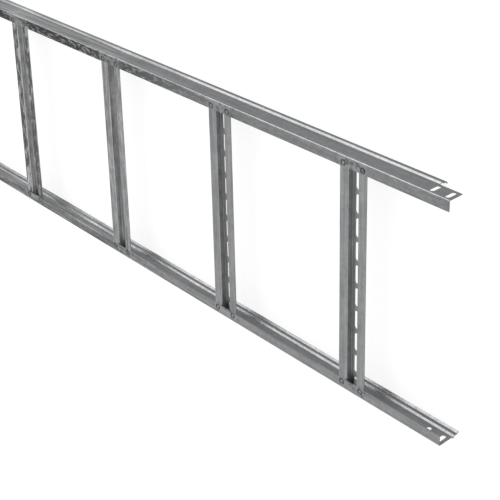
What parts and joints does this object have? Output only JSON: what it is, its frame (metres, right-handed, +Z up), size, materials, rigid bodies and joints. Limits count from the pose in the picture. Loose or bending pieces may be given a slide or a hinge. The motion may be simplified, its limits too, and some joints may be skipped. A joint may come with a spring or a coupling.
{
  "type": "cable ladder section",
  "caption": "Straight cable ladder section with roll-formed side rails and slotted top-hat rungs, lying flat.",
  "frame": {"origin": "middle of the section's footprint, on the surface that the back lips rest on", "axes": "+X along the rails to the end that the picture shows, +Y along the rungs to the left rail, +Z up, from the back lips to the front lips"},
  "size_m": [3, 0.4106, 0.045],
  "materials": {
    "rail_steel": "galvanised, satin",
    "rung_steel": "galvanised, satin"
  },
  "bodies": {
    "root": {"side_rail_left": "rail_steel", "side_rail_right": "rail_steel", "rung_01": "rung_steel", "rung_02": "rung_steel", "rung_03": "rung_steel", "rung_04": "rung_steel", "rung_05": "rung_steel", "rung_06": "rung_steel", "rung_07": "rung_steel", "rung_08": "rung_steel", "rung_09": "rung_steel", "rung_10": "rung_steel"}
  },
  "joints": []
}
